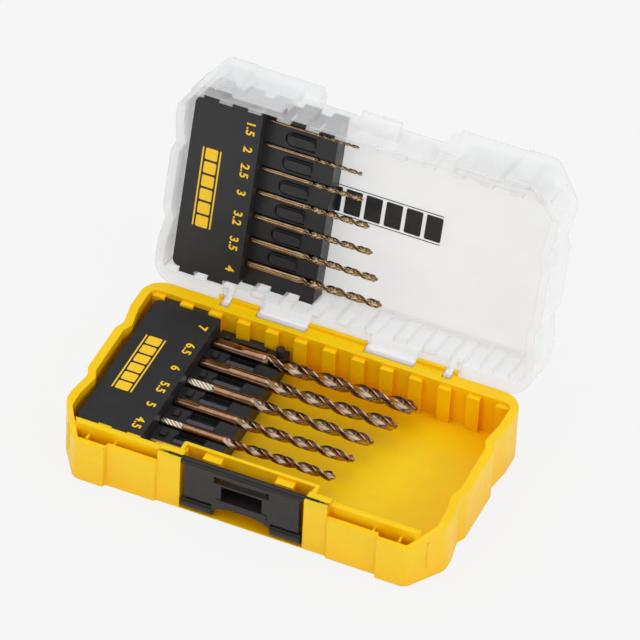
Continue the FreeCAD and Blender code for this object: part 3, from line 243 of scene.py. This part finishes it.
yellow = moulded(
    "yellow_plastic",
    dark=srgb(246, 200, 0),
    light=srgb(252, 208, 2),
    roughness=0.34,
    grain=0.22,
    edge=0.0006,
    subsurface=0.3,
    # the orange of the painted shade in its corners
    corner_shade=srgb(255, 158, 0),
)
black = moulded("black_plastic", srgb(36, 32, 30), srgb(43, 39, 36), roughness=0.2, grain=0.15, edge=0.0005)
charcoal = moulded("charcoal_plastic", srgb(36, 36, 38), srgb(43, 43, 45), roughness=0.38, grain=0.5, edge=0.0004)
# A glossier, lighter copy of the rack's plastic for its pads: the gloss is real, the lighter colour a painted sheen
sheen_charcoal = moulded("charcoal_painted_sheen", srgb(66, 66, 72), srgb(76, 76, 83), roughness=0.26, grain=0.15, edge=0.0002)
pale_pin = moulded("pin_plastic", srgb(214, 213, 211), srgb(226, 225, 222), roughness=0.3, grain=0.2, edge=0.0003)
clear = clear_plastic()

# Noise scales along X, Y and Z that draw a shank's marks round it, and a flute's marks along it
ROUND_SHANK = (6000.0, 260.0, 260.0)
ALONG_FLUTE = (900.0, 2600.0, 2600.0)
bronze = ground_steel("bronze_steel", srgb(160, 116, 86), srgb(206, 162, 128), 0.17, ROUND_SHANK, depth=0.15)
bronze_flute = ground_steel("bronze_flute", srgb(182, 152, 128), srgb(236, 208, 182), 0.2, ALONG_FLUTE, depth=0.25)
gold = ground_steel("gold_steel", srgb(168, 134, 100), srgb(222, 190, 150), 0.2, ROUND_SHANK, depth=0.2)
gold_flute = ground_steel("gold_flute", srgb(186, 158, 118), srgb(238, 214, 172), 0.2, ALONG_FLUTE, depth=0.25)
hatched = ground_flat()

yellow_ink = printed("yellow_ink", srgb(243, 194, 18), srgb(252, 206, 30))
black_ink = printed("black_ink", srgb(22, 22, 23), srgb(32, 32, 33))

NODE_MATERIALS = {
    "base_tray": yellow,
    "lid": clear,
    "latch": black,
    "base_rack": charcoal,
    "lid_rack": charcoal,
    "hinge_pin": pale_pin,
}
for name, material in NODE_MATERIALS.items():
    nodes[name].data.materials.clear()
    nodes[name].data.materials.append(material)


# Meshes in general


def show(name, mesh):
    thing = bpy.data.objects.new(name, mesh)
    bpy.context.scene.collection.objects.link(thing)
    return thing


def to_metres(verts):
    return [(x * MM, y * MM, z * MM) for x, y, z in verts]


def place(name, verts, faces, materials, body, indices=None, on_lid=False, smooth=False):
    """A mesh in the frame's metres that rides on a body. On the lid it is drawn with the lid closed."""
    mesh = bpy.data.meshes.new(name)
    mesh.from_pydata(verts, [], faces)
    for material in materials:
        mesh.materials.append(material)
    if indices:
        mesh.polygons.foreach_set("material_index", indices)
    if smooth:
        mesh.polygons.foreach_set("use_smooth", [True] * len(mesh.polygons))
    if on_lid:
        mesh.transform(LID_TURN)
    mesh.validate()
    thing = show(name, mesh)
    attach(thing, body)
    return thing


def band(low, count):
    """Faces between a ring of corners that starts at low and the next ring."""
    return [(low + n, low + (n + 1) % count, low + count + (n + 1) % count, low + count + n) for n in range(count)]


def slab(corners, low, high):
    """Vertices and faces of a flat slab over a convex outline."""
    count = len(corners)
    verts = [(x, y, low) for x, y in corners] + [(x, y, high) for x, y in corners]
    faces = [tuple(reversed(range(count))), tuple(range(count, 2 * count))]
    return verts, faces + band(0, count)


def rounded_box(x0, x1, y0, y1, radius, steps=5):
    """Corners of a rectangle whose corners are arcs of so many steps."""
    corners = []
    centres = (
        (x1 - radius, y1 - radius),
        (x0 + radius, y1 - radius),
        (x0 + radius, y0 + radius),
        (x1 - radius, y0 + radius),
    )
    for quarter, (cx, cy) in enumerate(centres):
        for k in range(steps + 1):
            angle = math.pi / 2 * (quarter + k / steps)
            corners.append((cx + radius * math.cos(angle), cy + radius * math.sin(angle)))
    return corners


def join(parts):
    """One mesh from several pairs of vertices and faces."""
    verts, faces = [], []
    for some_verts, some_faces in parts:
        shift = len(verts)
        verts += some_verts
        faces += [tuple(v + shift for v in face) for face in some_faces]
    return verts, faces


def smoothstep(low, high, value):
    t = min(1.0, max(0.0, (value - low) / (high - low)))
    return t * t * (3 - 2 * t)


# Bits: smooth twist drills that stand for the faceted solids

# The fluted section, half of it: a land with a raised margin at each side, then a flute
LAND = math.radians(66)
MARGIN = math.radians(12)
LAND_EDGE = math.radians(2.5)
LAND_STEPS = 5
FLUTE_STEPS = 18
# Radius of the land and of the core at the flute's bottom, as shares of the bit's
LAND_REACH = 0.93
CORE = 0.33
# Powers that shape the flute: which side is steeper, and how full it is
FLUTE_LEAN = 0.82
FLUTE_FULLNESS = 0.72
# How dark the painted shade is behind the margins, and at the flute's two edges within these shares of it
LAND_PAINTED_SHADE = 0.8
NEAR_PAINTED_SHADE, NEAR_EDGE = 0.95, 0.22
FAR_PAINTED_SHADE, FAR_EDGE = 0.75, 0.78

# Along the bit, as shares of its diameter
LEAD = 5.4
PILOT_LENGTH = 0.5
PILOT_SLOPE = 0.2
SHANK_CHAMFER = 0.06
SHANK_EASE = 0.3
FLUTE_BEFORE = 0.15
FLUTE_AFTER = 0.9
FLAT_LENGTH = 2.6
FLAT_RUNOUT = 0.5
FLAT_RUNOUT_STEP = 0.05
UNHATCHED = 0.2
# Across the bit, as shares of its radius
SHANK = 0.94
CHAMFERED = 0.84
PILOT = 0.5
PILOT_TIP = 0.3
PLAIN_TIP = 0.6
LAST_ROW = 0.02
LEAST_REACH = 0.02
FLAT_APOTHEM = 0.78
# In radians: half of what a flat may cover, half of what shows hatched, half of a face of the section
FLAT_HALF = 1.0
HATCH_HALF = 0.62
HALF_STEP = 0.06
# Rows of faces along the bit, and the angle from which an edge between faces looks sharp
ROWS_PER_TURN = 44
SHANK_ROWS = 6
SHARP = math.radians(28)


def section_angles():
    """Angles of one half of the fluted section, with the part of the bit that each step belongs to."""
    steps = [(0.0, "margin"), (MARGIN / 2, "margin"), (MARGIN, "margin")]
    inner = LAND - 2 * MARGIN - 2 * LAND_EDGE
    steps += [(MARGIN + LAND_EDGE + inner * k / LAND_STEPS, "land") for k in range(LAND_STEPS + 1)]
    steps += [(LAND - MARGIN, "margin"), (LAND - MARGIN / 2, "margin")]
    flute = math.pi - LAND
    steps += [(LAND + flute * k / FLUTE_STEPS, "flute") for k in range(FLUTE_STEPS)]
    return steps


def fluted_reach(angle, kind):
    """Radius of the fluted section at an angle in its half, as a share of the bit's radius."""
    if kind == "margin":
        return 1.0
    if kind == "land":
        return LAND_REACH
    u = (angle - LAND) / (math.pi - LAND)
    return 1.0 - (1.0 - CORE) * math.sin(math.pi * u**FLUTE_LEAN) ** FLUTE_FULLNESS


def painted_shade_at(angle, kind):
    """How dark the metal is painted, as painted shade: the flute darkens towards its edges, and so does the land
    behind its margin.
    """
    if kind == "margin":
        return 0.0
    if kind == "land":
        return LAND_PAINTED_SHADE
    u = (angle - LAND) / (math.pi - LAND)
    return NEAR_PAINTED_SHADE * smoothstep(NEAR_EDGE, 0.0, u) + FAR_PAINTED_SHADE * smoothstep(FAR_EDGE, 1.0, u)


# Direction, reach, painted shade and part of each corner of the whole section
SECTION = [
    (angle - LAND / 2 + half * math.pi, fluted_reach(angle, kind), painted_shade_at(angle, kind), kind)
    for half in (0, 1)
    for angle, kind in section_angles()
]


def bit_rows(diameter, length, start, shoulder, flats):
    """Places along the bit where a section is drawn."""
    radius = diameter / 2
    marks = [0.0, SHANK_CHAMFER * diameter, start, length - LAST_ROW * radius, length]
    run = start
    while run < length:
        marks.append(run)
        run += LEAD * diameter / ROWS_PER_TURN
    marks += [shoulder, shoulder + PILOT_SLOPE * diameter, length - PILOT_TIP * radius]
    if flats:
        flat_end = FLAT_LENGTH * diameter
        runout = flat_end - FLAT_RUNOUT * diameter
        steps = round(FLAT_RUNOUT / FLAT_RUNOUT_STEP)
        marks += [runout + FLAT_RUNOUT_STEP * k * diameter for k in range(steps + 1)] + [flat_end]
    marks += [start * k / SHANK_ROWS for k in range(1, SHANK_ROWS)]
    return sorted(set(round(v, 4) for v in marks if 0 <= v <= length))


def bit_limit(x, diameter, length, start, shoulder, stepped):
    """The most that a section at x reaches: its chamfer, shank, step and point, as a share of the radius."""
    if x < SHANK_CHAMFER * diameter:
        return CHAMFERED
    radius = diameter / 2
    limit = 1.0
    if stepped and x > shoulder:
        limit = max(PILOT, 1.0 - (x - shoulder) / (PILOT_SLOPE * diameter) * (1 - PILOT))
        point = PILOT_TIP * radius
        if x > length - point:
            limit = PILOT * (length - x) / point
    elif not stepped and x > shoulder:
        limit = (length - x) / (PLAIN_TIP * radius)
    limit = max(limit, LEAST_REACH)
    if x < start:
        limit = min(limit, SHANK + (1 - SHANK) * smoothstep(start - SHANK_EASE * diameter, start, x))
    return limit


def away_from(middle, angle):
    """An angle measured from a middle, from minus to plus half a turn."""
    return (angle - middle + math.pi) % (2 * math.pi) - math.pi


def flat_limit(x, phi, diameter, flats):
    """The most that the shank's flats let a section at x reach in the direction phi."""
    flat_end = FLAT_LENGTH * diameter
    runout = smoothstep(flat_end - FLAT_RUNOUT * diameter, flat_end, x)
    apothem = FLAT_APOTHEM + (1 - FLAT_APOTHEM) * runout
    angles = [away_from(middle, phi) for middle in flats]
    return min([1.0] + [apothem / math.cos(angle) for angle in angles if abs(angle) < FLAT_HALF])


def make_bit(name, body, diameter, length, fluted, phase, axis, stepped, flats, on_lid, tones):
    """A twist drill bit, drawn along X from the end of its shank to its point.

    phase is the place where the flutes' turn is counted from, and flats are the directions of the
    shank's flats. tones are the materials of the shank and lands, the flutes and the hatched flats.
    """
    radius = diameter / 2
    lead = LEAD * diameter
    start = length - fluted
    shoulder = length - PILOT_LENGTH * diameter if stepped else length - PLAIN_TIP * radius
    flat_end = FLAT_LENGTH * diameter
    rows = bit_rows(diameter, length, start, shoulder, flats)
    verts, painted_shade_values = [], []
    for x in rows:
        turn = 2 * math.pi * (max(x, start) - phase) / lead
        depth = smoothstep(start - FLUTE_BEFORE * diameter, start + FLUTE_AFTER * diameter, x)
        limit = bit_limit(x, diameter, length, start, shoulder, stepped)
        for around, share, dark, _ in SECTION:
            phi = around + turn
            reach = min(1.0 - (1.0 - share) * depth, limit)
            if flats and x < flat_end:
                reach = min(reach, flat_limit(x, phi, diameter, flats))
            verts.append((x, radius * reach * math.cos(phi), radius * reach * math.sin(phi)))
            # painted shade of this corner, fading in with the flutes
            painted_shade_values.append(dark * depth)

    count = len(SECTION)
    shank_turn = 2 * math.pi * (start - phase) / lead
    faces, indices = [], []
    for row in range(len(rows) - 1):
        middle = (rows[row] + rows[row + 1]) / 2
        faces += band(row * count, count)
        hatch = len(tones) > 2 and middle < flat_end - UNHATCHED * diameter
        for around, _, _, kind in SECTION:
            angle = around + shank_turn + HALF_STEP
            if hatch and any(abs(away_from(flat, angle)) < HATCH_HALF for flat in flats):
                indices.append(2)
            elif middle > start and kind != "land" or middle > shoulder:
                indices.append(1)
            else:
                indices.append(0)
    for row, flip in ((0, True), (len(rows) - 1, False)):
        verts.append((rows[row], 0.0, 0.0))
        painted_shade_values.append(0.0)
        hub = len(verts) - 1
        for n in range(count):
            pair = (row * count + n, row * count + (n + 1) % count)
            faces.append((hub, pair[1], pair[0]) if flip else (hub, pair[0], pair[1]))
            indices.append(0)

    x0, y0, z0 = axis
    verts = to_metres((x0 + x, y0 + y, z0 + z) for x, y, z in verts)
    thing = place(name, verts, faces, tones, body, indices, on_lid, smooth=True)
    # The painted shade, kept for the steel's material to darken by
    painted_shade = thing.data.attributes.new("painted_shade", "FLOAT", "POINT")
    painted_shade.data.foreach_set("value", painted_shade_values)
    thing.data.set_sharp_from_angle(angle=SHARP)
    return thing


# Directions of the flats in degrees. Where one faces up, its ground surface shows hatched.
FLATS = (90, 210, 330)
FLAT_UP = (-2, 118, 238)
# Mark, diameter, length, fluted length, length that the flutes' turn is counted over, flats
BASE_BITS = [
    ("7_0", 7.0, 109.0, 82.0, 69.0, FLATS),
    ("6_5", 6.5, 105.0, 70.0, 66.0, FLATS),
    ("6_0", 6.0, 99.0, 65.0, 62.0, FLAT_UP),
    ("5_5", 5.5, 95.5, 63.5, 60.0, FLATS),
    ("5_0", 5.0, 92.0, 59.0, 58.0, FLAT_UP),
    ("4_5", 4.5, 84.0, 52.0, 52.0, ()),
]
# Mark, diameter, length, fluted length, whether the point is stepped
LID_BITS = [
    ("4_0", 4.0, 72.2, 45.0, True),
    ("3_5", 3.5, 68.1, 41.0, True),
    ("3_2", 3.2, 63.3, 38.0, True),
    ("3_0", 3.0, 59.5, 35.0, True),
    ("2_5", 2.5, 54.3, 30.0, False),
    ("2_0", 2.0, 51.6, 26.0, False),
    ("1_5", 1.5, 48.0, 22.0, False),
]
# Where the shanks start along X, where the largest bit lies in Y, the rows' pitch, and the axes' height
BASE_SHANK_X, BASE_FIRST_Y, BASE_PITCH, BASE_AXIS_Z = -57.2, 38.5, 15.4, 19.6
LID_SHANK_X, LID_FIRST_Y, LID_PITCH, LID_AXIS_Z = -56.3, 38.2, 13.35, 42.8

for n, (mark, diameter, length, fluted, turned, flats) in enumerate(BASE_BITS):
    bit = make_bit(
        "bit_" + mark,
        "drill_" + mark,
        diameter,
        length,
        fluted,
        phase=length - turned,
        axis=(BASE_SHANK_X, BASE_FIRST_Y - BASE_PITCH * n, BASE_AXIS_Z),
        stepped=True,
        flats=[math.radians(v) for v in flats],
        on_lid=False,
        tones=[bronze, bronze_flute, hatched] if flats == FLAT_UP else [bronze, bronze_flute],
    )
    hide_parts("drill_" + mark)
for n, (mark, diameter, length, fluted, stepped) in enumerate(LID_BITS):
    bit = make_bit(
        "bit_" + mark,
        "drill_" + mark,
        diameter,
        length,
        fluted,
        phase=length - fluted,
        axis=(LID_SHANK_X, LID_FIRST_Y - LID_PITCH * n, LID_AXIS_Z),
        stepped=stepped,
        flats=[],
        on_lid=True,
        tones=[gold, gold_flute],
    )
    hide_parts("drill_" + mark)


# The tray's rack: gaps beside the bits cut into a copy of its shape, and narrow raised pads


def cut_copy(name, node, body, material, cutters):
    """A copy of a node's shape with boxes cut out, which stands for the node.

    Each cutter is a list of boxes that don't overlap one another.
    """
    copy = nodes[node].data.copy()
    welded = bmesh.new()
    welded.from_mesh(copy)
    bmesh.ops.remove_doubles(welded, verts=welded.verts, dist=1e-6)
    welded.to_mesh(copy)
    welded.free()
    rough = show(name + "_rough", copy)
    tools = []
    for boxes in cutters:
        box_slabs = [slab([(x0, y0), (x1, y0), (x1, y1), (x0, y1)], z0, z1) for x0, x1, y0, y1, z0, z1 in boxes]
        verts, faces = join(box_slabs)
        tool_mesh = bpy.data.meshes.new(name + "_tool")
        tool_mesh.from_pydata(to_metres(verts), [], faces)
        tool = show(name + "_tool", tool_mesh)
        tools.append(tool)
        step = rough.modifiers.new("cut", "BOOLEAN")
        step.operation = "DIFFERENCE"
        step.solver = "EXACT"
        step.object = tool
    bpy.context.view_layer.update()
    mesh = bpy.data.meshes.new_from_object(rough.evaluated_get(bpy.context.evaluated_depsgraph_get()))
    for tool in tools + [rough]:
        bpy.data.objects.remove(tool)
    mesh.name = name
    mesh.materials.clear()
    mesh.materials.append(material)
    thing = show(name, mesh)
    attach(thing, body)
    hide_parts(node)
    return thing


def soft_bar(x0, x1, y0, y1, z0, z1, edge, corner):
    """A bar with bevelled top edges, in three rings of corners."""
    rings = ((z0, 0.0), (z1 - edge, 0.0), (z1, edge))
    verts = []
    for z, inset in rings:
        for x, y in rounded_box(x0 + inset, x1 - inset, y0 + inset, y1 - inset, corner, steps=3):
            verts.append((x, y, z))
    count = len(verts) // len(rings)
    faces = [tuple(reversed(range(count))), tuple(range(2 * count, 3 * count))]
    return verts, faces + band(0, count) + band(count, count)


PAD_WIDTH = 2.6
PAD_FROM_BIT = 0.35
GAP_FROM_BIT = 0.1
CLEARING_MARGIN = 0.2
# Low and high X, and low and high Z, of each pad, of the gap beside it and of the room cleared round both
PAD_X, PAD_Z = (-46.2, -31.6), (17.0, 21.1)
GAP_X, GAP_Z = (-46.4, -32.0), (15.2, 22.5)
CLEARING_X, CLEARING_Z = (-47.2, -30.0), (19.31, 22.7)


def tray_rack():
    """The rack in the tray: between two bits, a narrow raised pad with a deep gap beside it."""
    gaps, clearings, pads = [], [], []
    for n in range(len(BASE_BITS) - 1):
        above = BASE_BITS[n][1] / 2
        below = BASE_BITS[n + 1][1] / 2
        gap_top = BASE_FIRST_Y - BASE_PITCH * n - above + GAP_FROM_BIT
        pad_foot = BASE_FIRST_Y - BASE_PITCH * (n + 1) + below + PAD_FROM_BIT
        gaps.append((*GAP_X, pad_foot + PAD_WIDTH, gap_top, *GAP_Z))
        clearings.append((*CLEARING_X, pad_foot - CLEARING_MARGIN, gap_top - CLEARING_MARGIN, *CLEARING_Z))
        pads.append(soft_bar(*PAD_X, pad_foot, pad_foot + PAD_WIDTH, *PAD_Z, edge=0.25, corner=0.5))
    rack = cut_copy("tray_rack", "base_rack", "base_rack", charcoal, [clearings, gaps])
    # The pads wear the lighter copy of the rack's plastic, whose lighter colour is a painted sheen
    print_on("rack_pads", pads, sheen_charcoal, "base_rack", False)


# Printed numbers and plain bars


def print_on(name, parts, material, body, on_lid):
    verts, faces = join(parts)
    return place(name, to_metres(verts), faces, [material], body, None, on_lid)


CAPITAL_SHARE = 0.70  # of the font's size
NUMBER_BOLDNESS = 0.00016
NUMBER_THICKNESS = 0.00003
NUMBER_LIFT = 0.03
NUMBER_SPACING = 1.05


def numbers(name, labels, height, x, z, facing, body, on_lid):
    """Printed numbers whose tops point along +X, on a face that looks up or down in the closed case."""
    verts, faces = [], []
    for text, y in labels:
        curve = bpy.data.curves.new("number", "FONT")
        curve.body = text
        curve.size = height / CAPITAL_SHARE * MM
        curve.align_x = "CENTER"
        curve.align_y = "CENTER"
        curve.offset = NUMBER_BOLDNESS
        curve.extrude = NUMBER_THICKNESS
        curve.space_character = NUMBER_SPACING
        letter = show("number", curve)
        bpy.context.view_layer.update()
        mesh = bpy.data.meshes.new_from_object(letter.evaluated_get(bpy.context.evaluated_depsgraph_get()))
        bpy.data.objects.remove(letter)
        normal = Vector((0, 0, facing))
        up = Vector((1, 0, 0))
        right = up.cross(normal)
        turn = Matrix((right, up, normal)).transposed().to_4x4()
        mesh.transform(Matrix.Translation((x * MM, y * MM, (z + facing * NUMBER_LIFT) * MM)) @ turn)
        shift = len(verts)
        verts += [tuple(v.co) for v in mesh.vertices]
        faces += [tuple(v + shift for v in face.vertices) for face in mesh.polygons]
    return place(name, verts, faces, [yellow_ink], body, None, on_lid)


BAR_COUNT = 6
BAR_CORNER = 0.8
LINE_CORNER_SHARE = 0.3
# How far the bars stay from the outside of the lines, in widths of a line
BAR_INSET_Y_ROW = 2.2
BAR_INSET_X_ROW = 3


def bars(x0, x1, y0, y1, along, low, high, gap, line):
    """Two thin lines with a row of plain bars between them; along is the axis that the row runs on."""
    parts = []

    def bar(x_low, x_high, y_low, y_high, corner):
        parts.append(slab(rounded_box(x_low, x_high, y_low, y_high, corner), low, high))

    line_corner = line * LINE_CORNER_SHARE
    if along == "y":
        bar(x0, x0 + line, y0, y1, line_corner)
        bar(x1 - line, x1, y0, y1, line_corner)
        inset = BAR_INSET_Y_ROW * line
        step = (y1 - y0 + gap) / BAR_COUNT
        for n in range(BAR_COUNT):
            start = y0 + n * step
            bar(x0 + inset, x1 - inset, start, start + step - gap, BAR_CORNER)
    else:
        bar(x0, x1, y0, y0 + line, line_corner)
        bar(x0, x1, y1 - line, y1, line_corner)
        inset = BAR_INSET_X_ROW * line
        step = (x1 - x0 + gap) / BAR_COUNT
        for n in range(BAR_COUNT):
            start = x0 + n * step
            bar(start, start + step - gap, y0 + inset, y1 - inset, BAR_CORNER)
    return parts


# Each number with its place in Y
BASE_LABELS = [("7", 37.4), ("6.5", 20.4), ("6", 5.1), ("5.5", -10.0), ("5", -23.6), ("4.5", -38.1)]
LID_LABELS = [("1.5", -38.3), ("2", -26.7), ("2.5", -14.9), ("3", -2.7), ("3.2", 11.4), ("3.5", 25.6), ("4", 39.8)]
base_bars = bars(-86.0, -75.2, -20.2, 21.0, along="y", low=28.49, high=28.56, gap=1.2, line=0.8)
lid_bars = bars(-85.2, -75.2, -21.2, 22.4, along="y", low=34.54, high=34.61, gap=1.2, line=0.8)
panel_bars = bars(-26.0, 36.2, -13.2, 3.0, along="x", low=54.62, high=54.68, gap=2.0, line=0.45)
tray_rack()
numbers("base_numbers", BASE_LABELS, height=4.5, x=-63.3, z=28.5, facing=1, body="base_rack", on_lid=False)
numbers("lid_numbers", LID_LABELS, height=4.4, x=-62.4, z=34.6, facing=-1, body="lid_rack", on_lid=True)
print_on("base_bars", base_bars, yellow_ink, "base_rack", False)
print_on("lid_bars", lid_bars, yellow_ink, "lid_rack", True)
print_on("lid_print", panel_bars, black_ink, "lid", True)


# Floor, light and camera

PALE = srgb(246, 246, 246)
WORLD_STRENGTH = 0.62
FLOOR_HALF = 6.0
FLOOR_DROP = 0.0001
FLOOR_GLOW_SHARE = 0.93
# What gloss reflects: strength by height, from the horizon and below at 0 to straight up at 1
GLOSS_FOOT = 0.8
GLOSS_TOP = 1.0
GLOSS_STEPS = ((0.22, 0.75), (0.36, 0.16), (0.7, 0.16), (0.84, 1.0))


def pale_world():
    """Even pale light, the plain background that the camera sees, and the softer one that gloss reflects."""
    world = bpy.data.worlds.new("studio")
    bpy.context.scene.world = world
    world.use_nodes = True
    tree = world.node_tree
    tree.nodes.clear()

    def background(colour, strength=1.0):
        node = tree.nodes.new("ShaderNodeBackground")
        node.inputs["Color"].default_value = colour
        node.inputs["Strength"].default_value = strength
        return node

    def choose(share, first, second):
        node = tree.nodes.new("ShaderNodeMixShader")
        for slot, source in enumerate((share, first, second)):
            tree.links.new(source, node.inputs[slot])
        return node.outputs[0]

    lit = background((1.0, 1.0, 1.0, 1.0), WORLD_STRENGTH)
    seen = background(PALE)
    mirrored = background(PALE)
    direction = tree.nodes.new("ShaderNodeTexCoord")
    parts = tree.nodes.new("ShaderNodeSeparateXYZ")
    tree.links.new(direction.outputs["Generated"], parts.inputs[0])
    height = tree.nodes.new("ShaderNodeValToRGB")
    tree.links.new(parts.outputs["Z"], height.inputs["Fac"])
    stops = height.color_ramp.elements
    stops[0].position, stops[0].color = 0.0, (GLOSS_FOOT, GLOSS_FOOT, GLOSS_FOOT, 1.0)
    stops[1].position, stops[1].color = 1.0, (GLOSS_TOP, GLOSS_TOP, GLOSS_TOP, 1.0)
    for at, level in GLOSS_STEPS:
        stops.new(at).color = (level, level, level, 1.0)
    tree.links.new(height.outputs["Color"], mirrored.inputs["Strength"])
    path = tree.nodes.new("ShaderNodeLightPath")
    either = tree.nodes.new("ShaderNodeMath")
    either.operation = "MAXIMUM"
    tree.links.new(path.outputs["Is Camera Ray"], either.inputs[0])
    tree.links.new(path.outputs["Is Transmission Ray"], either.inputs[1])
    lit_or_mirrored = choose(path.outputs["Is Glossy Ray"], lit.outputs[0], mirrored.outputs[0])
    output = tree.nodes.new("ShaderNodeOutputWorld")
    tree.links.new(choose(either.outputs[0], lit_or_mirrored, seen.outputs[0]), output.inputs["Surface"])


def pale_floor():
    """A floor that takes the object's shadow and otherwise matches the background."""
    mesh = bpy.data.meshes.new("floor")
    corners = [(-FLOOR_HALF, -FLOOR_HALF, 0), (FLOOR_HALF, -FLOOR_HALF, 0)]
    corners += [(FLOOR_HALF, FLOOR_HALF, 0), (-FLOOR_HALF, FLOOR_HALF, 0)]
    mesh.from_pydata(corners, [], [(0, 1, 2, 3)])
    floor = show("floor", mesh)
    floor.location.z = -FLOOR_DROP
    m = Nodes("floor_paint")
    m.set(Base_Color=PALE, Roughness=0.9, Specular_IOR_Level=0.0)
    glow = m.add("ShaderNodeEmission", Color=PALE, Strength=1.0)
    path = m.add("ShaderNodeLightPath")
    either = m.math("MAXIMUM", path.outputs["Is Camera Ray"], path.outputs["Is Transmission Ray"])
    mix = m.add("ShaderNodeMixShader")
    share = m.math("MULTIPLY", either, FLOOR_GLOW_SHARE)
    m.feed((share, m.shader.outputs[0], glow.outputs[0]), mix, (0, 1, 2))
    m.link(mix.outputs[0], m.output.inputs["Surface"])
    mesh.materials.append(m.material)


def lamp(name, stand, aim, size, power):
    """A round area lamp that gloss doesn't reflect."""
    light = bpy.data.lights.new(name, "AREA")
    light.shape = "DISK"
    light.size = size
    light.energy = power
    thing = show(name, light)
    thing.visible_glossy = False
    thing.location = stand
    thing.rotation_euler = (Vector(aim) - Vector(stand)).to_track_quat("-Z", "Y").to_euler()


CAMERA_PLACE = (0.94874908, -2.36719202, 2.40970761)
CAMERA_RIGHT = Vector((0.91369403, 0.40499529, 0.03379392))
CAMERA_DOWN = Vector((0.29444337, -0.60237414, -0.74192216))
CAMERA_AHEAD = Vector((-0.28011839, 0.68784025, -0.66963384))


def camera():
    """The photo's camera, as fitted to the case's edges."""
    data = bpy.data.cameras.new("camera")
    data.sensor_width = 36.0
    data.lens = 405.0
    data.shift_x = 0.0841
    data.shift_y = -0.0521
    data.clip_end = 50.0
    thing = show("camera", data)
    turn = Matrix((CAMERA_RIGHT, -CAMERA_DOWN, -CAMERA_AHEAD)).transposed()
    thing.matrix_world = Matrix.Translation(CAMERA_PLACE) @ turn.to_4x4()
    bpy.context.scene.camera = thing


pale_world()
pale_floor()
lamp("overhead", stand=(-0.1, 0.1, 2.0), aim=(0, 0, 0.03), size=2.2, power=12.0)
lamp("key", stand=(-1.3, -1.5, 1.5), aim=(0, 0, 0.03), size=1.8, power=11.5)
lamp("fill", stand=(1.8, -0.6, 1.1), aim=(0, 0, 0.05), size=1.6, power=11.0)
camera()
bpy.context.scene.view_settings.view_transform = "Standard"
